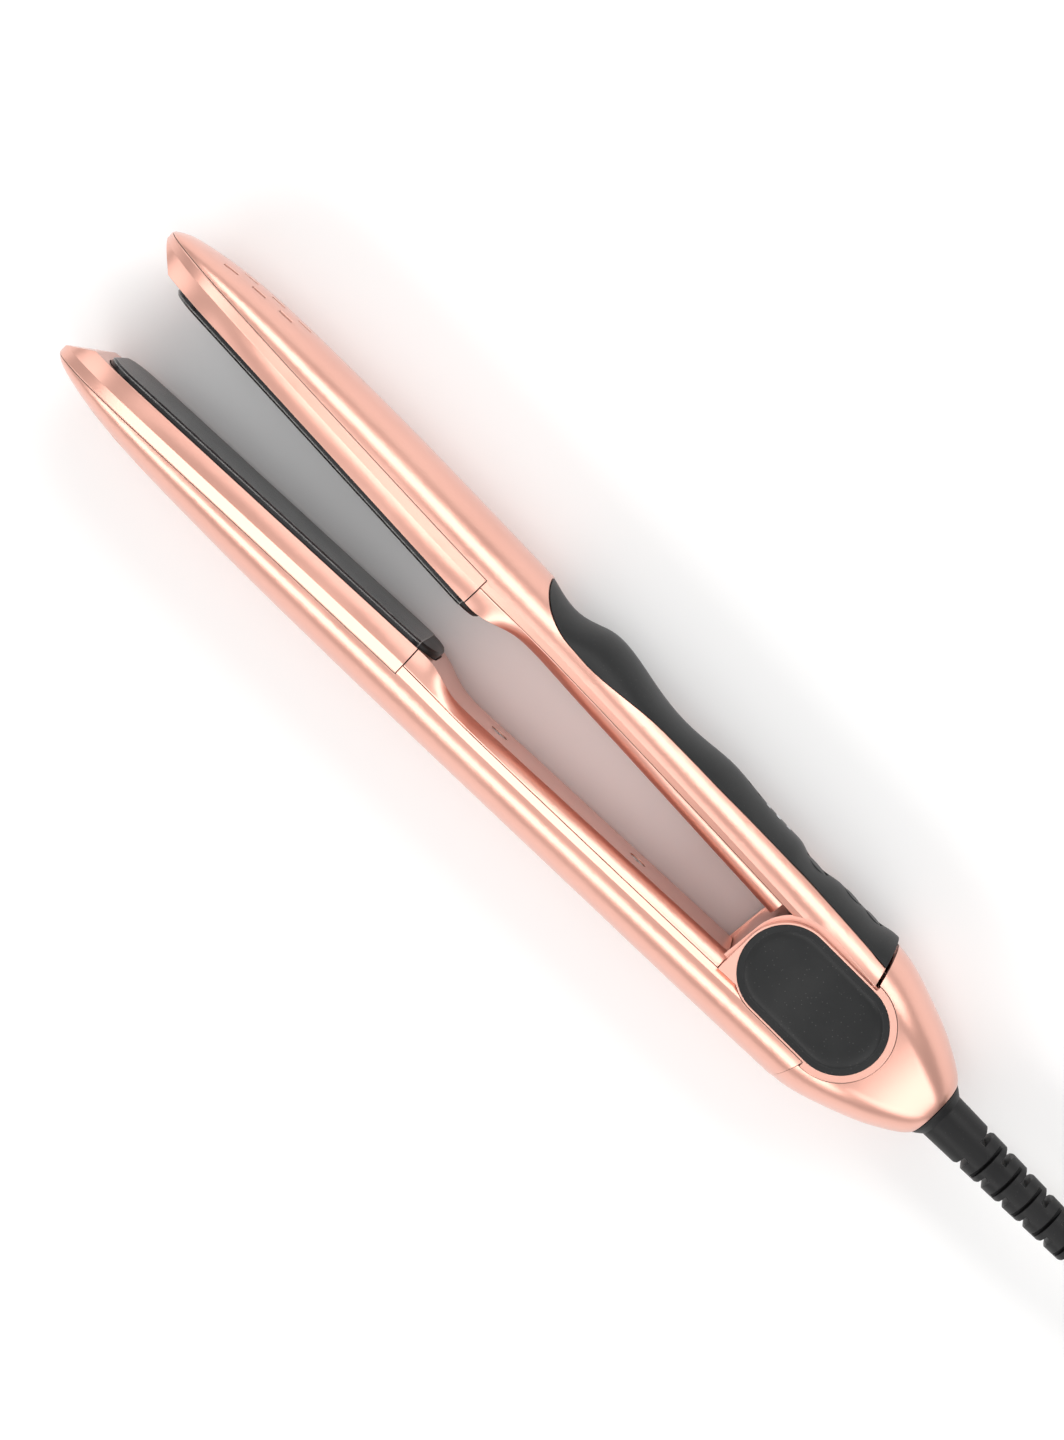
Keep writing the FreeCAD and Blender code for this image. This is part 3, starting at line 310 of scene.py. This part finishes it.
finishes = {
    "roseGoldLacquer": {
        "colors": ((0.785, 0.41, 0.325), (0.835, 0.455, 0.365)), "wornAndHighlightTone": (0.95, 0.70, 0.60), "wearAndHighlight": 0.45,
        "metal": 0.92, "rough": (0.29, 0.35), "grain": 0.00013, "spread": 0.045, "depth": 0.000004,
        "dust": 0.04, "edge": 0.00022, "coat": 0.5, "coatRough": 0.22, "brushed": 0.0},
    "softTouchBlack": {
        "colors": ((0.0085, 0.009, 0.0095), (0.013, 0.0135, 0.014)),
        "wornAndHighlightTone": (0.05, 0.05, 0.052), "wearAndHighlight": 0.4,
        "metal": 0.0, "rough": (0.40, 0.50), "gloss": 0.3,
        "grain": 0.00022, "spread": 0.02, "depth": 0.000012,
        "dust": 0.08, "edge": 0.0003, "coat": 0.0, "coatRough": 0.3, "brushed": 0.0},
    # the plates' grey edge colour, at full amount over a wide edge, is a painted highlight line along the
    # plate edges, not wear
    "plateCeramic": {
        "colors": ((0.004, 0.004, 0.005), (0.008, 0.008, 0.009)), "wornAndHighlightTone": (0.46, 0.45, 0.44), "wearAndHighlight": 1.0,
        "metal": 0.0, "rough": (0.16, 0.22), "grain": 0.0002, "spread": 0.02, "depth": 0.000002,
        "dust": 0.02, "edge": 0.00055, "coat": 0.0, "coatRough": 0.05, "brushed": 1.0, "gloss": 0.3},
    "blackPlastic": {
        "colors": ((0.004, 0.004, 0.004), (0.008, 0.008, 0.008)), "wornAndHighlightTone": (0.05, 0.05, 0.05), "wearAndHighlight": 0.5,
        "metal": 0.0, "rough": (0.36, 0.46), "gloss": 0.3,
        "grain": 0.00025, "spread": 0.015, "depth": 0.00001,
        "dust": 0.03, "edge": 0.0003, "coat": 0.0, "coatRough": 0.3, "brushed": 0.0},
    "strapWeave": {
        "colors": ((0.012, 0.012, 0.013), (0.022, 0.022, 0.023)), "wornAndHighlightTone": (0.06, 0.06, 0.06), "wearAndHighlight": 0.4,
        "metal": 0.0, "rough": (0.75, 0.85), "grain": 0.0005, "spread": 0.006, "depth": 0.00008,
        "dust": 0.12, "edge": 0.0003, "coat": 0.0, "coatRough": 0.3, "brushed": 1.0},
    "cordJacket": {
        "colors": ((0.004, 0.004, 0.0045), (0.008, 0.008, 0.0085)),
        "wornAndHighlightTone": (0.04, 0.04, 0.04), "wearAndHighlight": 0.35,
        "metal": 0.0, "rough": (0.42, 0.52), "gloss": 0.3,
        "grain": 0.0003, "spread": 0.02, "depth": 0.000012,
        "dust": 0.04, "edge": 0.0003, "coat": 0.0, "coatRough": 0.3, "brushed": 0.0},
    "bareCeramic": {
        "colors": ((0.80, 0.78, 0.73), (0.87, 0.85, 0.81)), "wornAndHighlightTone": (0.95, 0.94, 0.92), "wearAndHighlight": 0.4,
        "metal": 0.0, "rough": (0.45, 0.6), "grain": 0.0004, "spread": 0.01, "depth": 0.00002,
        "dust": 0.1, "edge": 0.0002, "coat": 0.0, "coatRough": 0.3, "brushed": 0.0},
    "springSteel": {
        "colors": ((0.42, 0.42, 0.43), (0.55, 0.55, 0.55)), "wornAndHighlightTone": (0.8, 0.8, 0.8), "wearAndHighlight": 0.5,
        "metal": 1.0, "rough": (0.26, 0.38), "grain": 0.0003, "spread": 0.008, "depth": 0.000006,
        "dust": 0.05, "edge": 0.0002, "coat": 0.0, "coatRough": 0.3, "brushed": 1.0},
    "platedSteel": {
        "colors": ((0.62, 0.62, 0.63), (0.72, 0.72, 0.72)), "wornAndHighlightTone": (0.9, 0.9, 0.9), "wearAndHighlight": 0.4,
        "metal": 1.0, "rough": (0.12, 0.2), "grain": 0.0003, "spread": 0.01, "depth": 0.000003,
        "dust": 0.04, "edge": 0.0002, "coat": 0.0, "coatRough": 0.3, "brushed": 0.0},
    "contactBrass": {
        "colors": ((0.70, 0.50, 0.22), (0.80, 0.62, 0.32)), "wornAndHighlightTone": (0.95, 0.82, 0.52), "wearAndHighlight": 0.6,
        "metal": 1.0, "rough": (0.2, 0.34), "grain": 0.0003, "spread": 0.006, "depth": 0.000005,
        "dust": 0.05, "edge": 0.00025, "coat": 0.0, "coatRough": 0.3, "brushed": 1.0},
    "boardGreen": {
        "colors": ((0.012, 0.12, 0.045), (0.02, 0.2, 0.08)), "wornAndHighlightTone": (0.35, 0.42, 0.25), "wearAndHighlight": 0.5,
        "metal": 0.0, "rough": (0.25, 0.35), "grain": 0.0008, "spread": 0.004, "depth": 0.00001,
        "dust": 0.05, "edge": 0.0002, "coat": 0.4, "coatRough": 0.15, "brushed": 0.0},
    "componentBlack": {
        "colors": ((0.03, 0.03, 0.033), (0.055, 0.055, 0.06)), "wornAndHighlightTone": (0.2, 0.2, 0.2), "wearAndHighlight": 0.4,
        "metal": 0.0, "rough": (0.4, 0.5), "grain": 0.0003, "spread": 0.004, "depth": 0.00001,
        "dust": 0.05, "edge": 0.0002, "coat": 0.0, "coatRough": 0.3, "brushed": 0.0},
    "leadSilicone": {
        "colors": ((0.68, 0.65, 0.60), (0.78, 0.75, 0.71)), "wornAndHighlightTone": (0.86, 0.84, 0.8), "wearAndHighlight": 0.3,
        "metal": 0.0, "rough": (0.5, 0.62), "grain": 0.0004, "spread": 0.006, "depth": 0.00001,
        "dust": 0.12, "edge": 0.0002, "coat": 0.0, "coatRough": 0.3, "brushed": 0.0},
    "lightPipe": {
        "colors": ((0.74, 0.77, 0.80), (0.86, 0.89, 0.92)), "wornAndHighlightTone": (0.95, 0.96, 0.98), "wearAndHighlight": 0.3,
        "metal": 0.0, "rough": (0.2, 0.32), "grain": 0.0003, "spread": 0.004, "depth": 0.000004,
        "dust": 0.05, "edge": 0.0002, "coat": 0.3, "coatRough": 0.1, "brushed": 0.0},
}


def makeFinish(name, look):
    material, tree, shader, place = newFinish(name)
    grain = useGroup(tree, "fineGrain", place, Size=look["grain"], Spread=look["spread"])
    wearAndHighlight = useGroup(tree, "edgeWearAndHighlight", place, Width=look["edge"], Amount=look["wearAndHighlight"])
    dust = useGroup(tree, "dustFilm", place, Amount=look["dust"])
    tone = spreadValue(tree, grain.outputs["Patch"], 0.0, 1.0)
    color = mixColor(tree, tone, look["colors"][0], look["colors"][1])
    # edge colour: rubbed wear on most finishes, a painted highlight line on the plates
    color = mixColor(tree, wearAndHighlight.outputs["WearAndHighlight"], color, look["wornAndHighlightTone"])
    color = mixColor(tree, dust.outputs["Dust"], color, dustLook["tone"])
    tree.links.new(color, shader.inputs["Base Color"])
    rough = spreadValue(tree, grain.outputs["Patch"], look["rough"][0], look["rough"][1])
    height = grain.outputs["Grain"]
    if look["brushed"]:
        lines = useGroup(tree, "brushedLines", place)
        height = addMath(tree, "ADD", height, lines.outputs["Lines"])
        extra = addMath(tree, "MULTIPLY", lines.outputs["Lines"], brushedLook["roughShare"])
        rough = addMath(tree, "ADD", rough, extra)
    rough = addMath(tree, "ADD", rough, dust.outputs["Dust"], clamp=True)
    tree.links.new(rough, shader.inputs["Roughness"])
    bump = bumpFrom(tree, height, look["depth"], wearAndHighlight.outputs["Rounded"])
    tree.links.new(bump, shader.inputs["Normal"])
    shader.inputs["Metallic"].default_value = look["metal"]
    shader.inputs["Specular IOR Level"].default_value = look.get("gloss", 0.5)
    shader.inputs["Coat Weight"].default_value = look["coat"]
    shader.inputs["Coat Roughness"].default_value = look["coatRough"]
    return material


materials = {name: makeFinish(name, look) for name, look in finishes.items()}

slotFinish = {
    "rose_gold": "roseGoldLacquer", "soft_touch": "softTouchBlack", "plate_ceramic": "plateCeramic",
    "black_plastic": "blackPlastic", "heater_ceramic": "bareCeramic", "spring_steel": "springSteel",
    "bright_steel": "platedSteel", "contact_brass": "contactBrass", "board_green": "boardGreen",
    "component_black": "componentBlack", "lead_silicone": "leadSilicone", "light_pipe": "lightPipe",
    "cord_black": "cordJacket",
}

nodeSlot = {row["node"]: row["material_slot"] for row in frame["record"]["subparts"]}
for nodeName, node in nodes.items():
    for holder in node.material_slots:
        holder.material = materials[slotFinish[nodeSlot[nodeName]]]
print("finishes on every carried-over piece")


# the cord: out of the boot, down to the surface, a tied hank of long flat turns, and back to the plug

cordSettings = {
    "radius": 0.0035,
    "exit": (0.09105, 0.0, 0.0164),
    "length": 2.39,
    "front": 0.228,         # where the hank's straight runs begin and end
    "back": 0.293,
    "pointsPerFold": 10,
    "runPoints": 4,         # steps in a straight run
    "climbPoints": 7,
    "climbSteps": 5,
    "wideTurn": 0.024,      # turns wider than this swing outwards, the others inwards
    "smooth": 5,
    "bulge": 0.0027,        # how far a turn swings out while it climbs to the next layer
    # each turn's fold radius and height, in the order in which they are wound
    "turns": ((0.028, 0.0035), (0.021, 0.0035), (0.021, 0.0105), (0.028, 0.0105),
              (0.028, 0.0175), (0.021, 0.0175), (0.021, 0.0245), (0.028, 0.0245)),
    "lead": ((0.09105, 0.0, 0.0164), (0.098, 0.0, 0.0164), (0.107, -0.0001, 0.0162),
             (0.124, -0.0008, 0.0122), (0.141, -0.0030, 0.0064), (0.158, -0.0074, 0.0035),
             (0.176, -0.0142, 0.0035), (0.194, -0.0218, 0.0035), (0.211, -0.0266, 0.0035)),
    "end": ((0.213, 0.0279, 0.0243), (0.200, 0.0269, 0.0216), (0.188, 0.0250, 0.0170),
            (0.177, 0.0227, 0.0124), (0.166, 0.0204, 0.0090), (0.155, 0.0186, 0.0080),
            (0.149, 0.0185, 0.0080)),
}


def foldPoints(centre, radius, height, first, last, count):
    # a half turn about one end of the hank; the control points stand a little outside the line they make
    swell = 1.0 / math.cos((last - first) / count / 2)
    angles = [first + (last - first) * (k + 0.5) / count for k in range(count)]
    return [(centre + radius * swell * math.cos(a), radius * swell * math.sin(a), height) for a in angles]


def hankPoints(look):
    points = []
    count = look["pointsPerFold"]
    front, back = look["front"], look["back"]
    run, climbing = look["runPoints"], look["climbPoints"]
    for number, (radius, height) in enumerate(look["turns"]):
        points += [(front + (back - front) * k / run, -radius, height) for k in range(run + 1)]
        points += foldPoints(back, radius, height, -math.pi / 2, math.pi / 2, count)
        if number == len(look["turns"]) - 1:
            points += [(back - (back - front) * k / run, radius, height) for k in range(run + 1)]
            break
        nextRadius, nextHeight = look["turns"][number + 1]
        way = 1 if radius > look["wideTurn"] else -1
        climb = look["bulge"] * way * (nextHeight != height)
        for k in range(climbing):
            share = min(max((k - 0.5) / look["climbSteps"], 0.0), 1.0)
            eased = share * share * (3 - 2 * share)
            aside = radius + (nextRadius - radius) * eased + climb * math.sin(math.pi * eased)
            along = back - (back - front) * k / (climbing - 1)
            points.append((along, aside, height + (nextHeight - height) * eased))
        points += foldPoints(front, nextRadius, nextHeight, math.pi / 2, 3 * math.pi / 2, count)
    return points


def addCord(look):
    points = [*look["lead"], *hankPoints(look), *look["end"]]
    data = bpy.data.curves.new("mainsCord", "CURVE")
    data.dimensions = "3D"
    data.bevel_depth = look["radius"]
    data.bevel_resolution = look["smooth"]
    data.resolution_u = look["smooth"]
    data.use_fill_caps = True
    line = data.splines.new("NURBS")
    line.points.add(len(points) - 1)
    for knot, place in zip(line.points, points):
        knot.co = (*place, 1.0)
    line.order_u = 3
    line.use_endpoint_u = True
    data.materials.append(materials["cordJacket"])
    cord = bpy.data.objects.new("mainsCord", data)
    bpy.context.scene.collection.objects.link(cord)
    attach(cord, "lower_arm")
    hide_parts("cord_lead", "cord_hank", "cord_end")
    return cord


mainsCord = addCord(cordSettings)
print("cord laid in its hank")


# modelling by hand: each piece starts as a primitive and is shaped in edit mode

def startShape(kind, **settings):
    if bpy.context.object and bpy.context.object.mode != "OBJECT":
        bpy.ops.object.mode_set(mode="OBJECT")
    bpy.ops.object.select_all(action="DESELECT")
    getattr(bpy.ops.mesh, "primitive_" + kind + "_add")(**settings)
    return bpy.context.object


def pickFaces(piece, wanted):
    # selects the faces whose centre and normal the test accepts
    bpy.ops.object.mode_set(mode="EDIT")
    bpy.ops.mesh.select_mode(type="FACE")
    bpy.ops.mesh.select_all(action="DESELECT")
    mesh = bmesh.from_edit_mesh(piece.data)
    for face in mesh.faces:
        face.select = wanted(piece.matrix_world @ face.calc_center_median(), face.normal)
    mesh.select_flush_mode()
    bmesh.update_edit_mesh(piece.data)


def pickPoints(piece, wanted):
    bpy.ops.object.mode_set(mode="EDIT")
    bpy.ops.mesh.select_mode(type="VERT")
    bpy.ops.mesh.select_all(action="DESELECT")
    mesh = bmesh.from_edit_mesh(piece.data)
    for point in mesh.verts:
        point.select = wanted(piece.matrix_world @ point.co)
    mesh.select_flush_mode()
    bmesh.update_edit_mesh(piece.data)


def pickEdges(piece, wanted):
    bpy.ops.object.mode_set(mode="EDIT")
    bpy.ops.mesh.select_mode(type="EDGE")
    bpy.ops.mesh.select_all(action="DESELECT")
    mesh = bmesh.from_edit_mesh(piece.data)
    for edge in mesh.edges:
        ends = [piece.matrix_world @ v.co for v in edge.verts]
        edge.select = wanted(*ends)
    mesh.select_flush_mode()
    bmesh.update_edit_mesh(piece.data)


def useModifier(piece, kind, **settings):
    modifier = piece.modifiers.new(kind.lower(), kind)
    for key, value in settings.items():
        setattr(modifier, key, value)
    bpy.context.view_layer.objects.active = piece
    bpy.ops.object.modifier_apply(modifier=modifier.name)


def finishShape(piece, name, finish, body, replaced, angle=35.0):
    if piece.mode != "OBJECT":
        bpy.ops.object.mode_set(mode="OBJECT")
    bpy.ops.object.select_all(action="DESELECT")
    piece.select_set(True)
    bpy.context.view_layer.objects.active = piece
    bpy.ops.object.transform_apply(location=True, rotation=True, scale=True)
    bpy.ops.object.shade_smooth_by_angle(angle=math.radians(angle))
    piece.name = name
    piece.data.name = name
    piece.data.materials.clear()
    piece.data.materials.append(materials[finish])
    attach(piece, body)
    if replaced:
        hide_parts(*replaced)
    return piece


# the soft pads on both sides of the hinge: a flat rim and a domed pillow

padSettings = {
    "radius": 0.0119,
    "reach": 0.0181,
    "base": 0.0306,         # underside of the upper pad
    "rim": 0.0317,
    "rimWidth": 0.0015,
    "rimRound": 0.00025,
    "step": 0.0001,
    "stepWidth": 0.00012,
    "sides": 128,
    "near": 0.00001,
    # inset, rise: from the foot of the pillow to its crown
    "pillow": ((0.00020, 0.00014), (0.00032, 0.00020), (0.0006, 0.00021), (0.0010, 0.00020),
               (0.0015, 0.00016), (0.0020, 0.00011), (0.0022, 0.00006)),
}


def addPad(look, top):
    middle = (cadLow.z + cadHigh.z) / 2
    height = look["rim"] - look["base"]
    centre = (look["rim"] + look["base"]) / 2
    pad = startShape("cylinder", vertices=look["sides"], radius=look["radius"], depth=height,
                     location=(0, 0, centre), rotation=(0, 0, math.pi / look["sides"]))
    pickPoints(pad, lambda p: p.x < 0)
    bpy.ops.transform.translate(value=(-look["reach"], 0, 0))
    pickEdges(pad, lambda a, b: min(a.z, b.z) > look["rim"] - look["near"])
    bpy.ops.mesh.bevel(offset=look["rimRound"], segments=3, affect="EDGES")
    pickFaces(pad, lambda p, n: n.z > 0.99 and p.z > look["rim"] - look["near"])
    bpy.ops.mesh.inset(thickness=look["rimWidth"] - look["rimRound"], depth=0)
    bpy.ops.mesh.inset(thickness=look["stepWidth"], depth=-look["step"])
    for inset, rise in look["pillow"]:
        bpy.ops.mesh.inset(thickness=inset, depth=rise)
    if not top:
        bpy.ops.mesh.select_all(action="SELECT")
        bpy.ops.transform.mirror(constraint_axis=(False, False, True), orient_type="GLOBAL",
                                 center_override=(0, 0, middle))
        bpy.ops.mesh.normals_make_consistent(inside=False)
    name, node = ("hingePadTop", "hinge_pad_top") if top else ("hingePadBottom", "hinge_pad_bottom")
    return finishShape(pad, name, "softTouchBlack", "lower_arm", [node], 28)


addPad(padSettings, True)
addPad(padSettings, False)
print("hinge pads modelled")


# the small coils behind the plates (on the iron they shorten as a plate is pressed in): each CAD coil is
# replaced by a merged, smooth-shaded copy

springSettings = {
    "travel": 0.001,
    "merge": 0.000001,
}


def addPlateSprings(look, side):
    bpy.ops.object.select_all(action="DESELECT")
    node = nodes[f"{side}_plate_springs"]
    node.select_set(True)
    bpy.context.view_layer.objects.active = node
    bpy.ops.object.duplicate()
    coils = bpy.context.object
    for key in list(coils.keys()):
        del coils[key]
    bpy.ops.mesh.customdata_custom_splitnormals_clear()
    bpy.ops.object.mode_set(mode="EDIT")
    bpy.ops.mesh.select_all(action="SELECT")
    bpy.ops.mesh.remove_doubles(threshold=look["merge"])
    bpy.ops.mesh.normals_make_consistent(inside=False)
    bpy.ops.object.mode_set(mode="OBJECT")
    finishShape(coils, f"{side}PlateSprings", "springSteel", f"{side}_arm",
                [f"{side}_plate_springs"], 40)
    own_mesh(coils)


addPlateSprings(springSettings, "lower")
addPlateSprings(springSettings, "upper")


# the strap that holds the hank, pulled round one bundle of turns, with its free end turned up

strapSettings = {
    "place": 0.260,
    "width": 0.010,
    "inner": 0.0171,
    "outer": 0.0319,
    "low": 0.0008,
    "top": 0.0284,
    "thickness": 0.0009,
    "cornerRound": 0.0034,
    "edgeRound": 0.0002,
    "flapShift": (0.0, -0.0012, 0.0015),
    "flapScale": (0.86, 1.0, 0.62),
}


def addStrap(look):
    middle = -(look["inner"] + look["outer"]) / 2
    centre = (look["top"] + look["low"]) / 2
    height = look["top"] - look["low"]
    strap = startShape("cube", size=1.0, location=(look["place"], middle, centre),
                       scale=(look["width"], look["outer"] - look["inner"], height))
    bpy.ops.object.transform_apply(location=False, rotation=False, scale=True)
    pickEdges(strap, lambda a, b: abs(a.x - b.x) > 0.5 * look["width"])
    bpy.ops.mesh.bevel(offset=look["cornerRound"], segments=6, affect="EDGES")
    pickFaces(strap, lambda p, n: abs(n.x) > 0.9)
    bpy.ops.mesh.delete(type="ONLY_FACE")
    pickFaces(strap, lambda p, n: n.y < -0.9)
    bpy.ops.mesh.duplicate()
    bpy.ops.transform.translate(value=look["flapShift"])
    bpy.ops.transform.resize(value=look["flapScale"])
    bpy.ops.mesh.select_all(action="SELECT")
    bpy.ops.mesh.subdivide(number_cuts=1)
    bpy.ops.object.mode_set(mode="OBJECT")
    useModifier(strap, "SOLIDIFY", thickness=look["thickness"], offset=0.0, use_even_offset=True)
    useModifier(strap, "BEVEL", width=look["edgeRound"], segments=2, limit_method="ANGLE", angle_limit=0.7)
    return finishShape(strap, "hankStrap", "strapWeave", "lower_arm", ["cord_tie"], 40)


hankStrap = addStrap(strapSettings)
print("strap modelled")


# floor and light

studio = {
    "floorSize": 6.0,
    "floorTone": (0.88, 0.88, 0.88),
    "floorToneLift": 1.02,
    "floorGrain": 0.002,
    "floorSpread": 0.5,
    "floorRough": 0.85,
    "skyTone": (1.0, 1.0, 1.0),
    "skyStrength": 0.50,
    # name: place, aims at, width, height, brightness, colour
    "lights": {
        "backSoftbox": ((-0.15, 0.95, 0.75), (-0.1, 0.0, 0.0), 1.5, 0.6, 2.8, (1.0, 0.985, 0.97)),
        "frontSoftbox": ((-0.15, -0.95, 0.75), (-0.1, 0.0, 0.01), 1.5, 0.5, 3.0, (1.0, 0.985, 0.97)),
        "tailSoftbox": ((0.8, -0.2, 0.7), (0.02, 0.0, 0.01), 0.7, 0.7, 2.2, (1.0, 1.0, 1.0)),
        "overheadSoftbox": ((-0.1, 0.0, 1.6), (-0.1, 0.0, 0.0), 0.8, 0.8, 1.6, (1.0, 1.0, 1.0)),
        "tipSoftbox": ((-1.05, 0.0, 0.6), (-0.15, 0.0, 0.01), 0.7, 0.7, 1.2, (1.0, 1.0, 1.0)),
    },
}


def addStudio(look):
    bpy.ops.object.select_all(action="DESELECT")
    bpy.ops.mesh.primitive_plane_add(size=look["floorSize"], location=(0, 0, 0))
    floor = bpy.context.object
    floor.name = "paleFloor"
    material, tree, shader, place = newFinish("paleFloor")
    grain = useGroup(tree, "fineGrain", place, Size=look["floorGrain"], Spread=look["floorSpread"])
    tone = spreadValue(tree, grain.outputs["Patch"], 0.0, 1.0)
    lighter = [min(1.0, c * look["floorToneLift"]) for c in look["floorTone"]]
    color = mixColor(tree, tone, look["floorTone"], lighter)
    tree.links.new(color, shader.inputs["Base Color"])
    shader.inputs["Roughness"].default_value = look["floorRough"]
    floor.data.materials.append(material)
    world = bpy.data.worlds.new("studioWorld")
    world.use_nodes = True
    sky = world.node_tree.nodes["Background"]
    sky.inputs["Color"].default_value = (*look["skyTone"], 1.0)
    sky.inputs["Strength"].default_value = look["skyStrength"]
    bpy.context.scene.world = world
    for name, (place, aim, width, height, brightness, tone) in look["lights"].items():
        data = bpy.data.lights.new(name, "AREA")
        data.shape = "RECTANGLE"
        data.size = width
        data.size_y = height
        data.energy = brightness * math.pi * width * height
        data.color = tone
        light = bpy.data.objects.new(name, data)
        bpy.context.scene.collection.objects.link(light)
        light.location = place
        light.rotation_euler = (Vector(aim) - Vector(place)).to_track_quat("-Z", "Y").to_euler()
    bpy.context.scene.view_settings.view_transform = "Standard"


addStudio(studio)
print("floor and lights set")
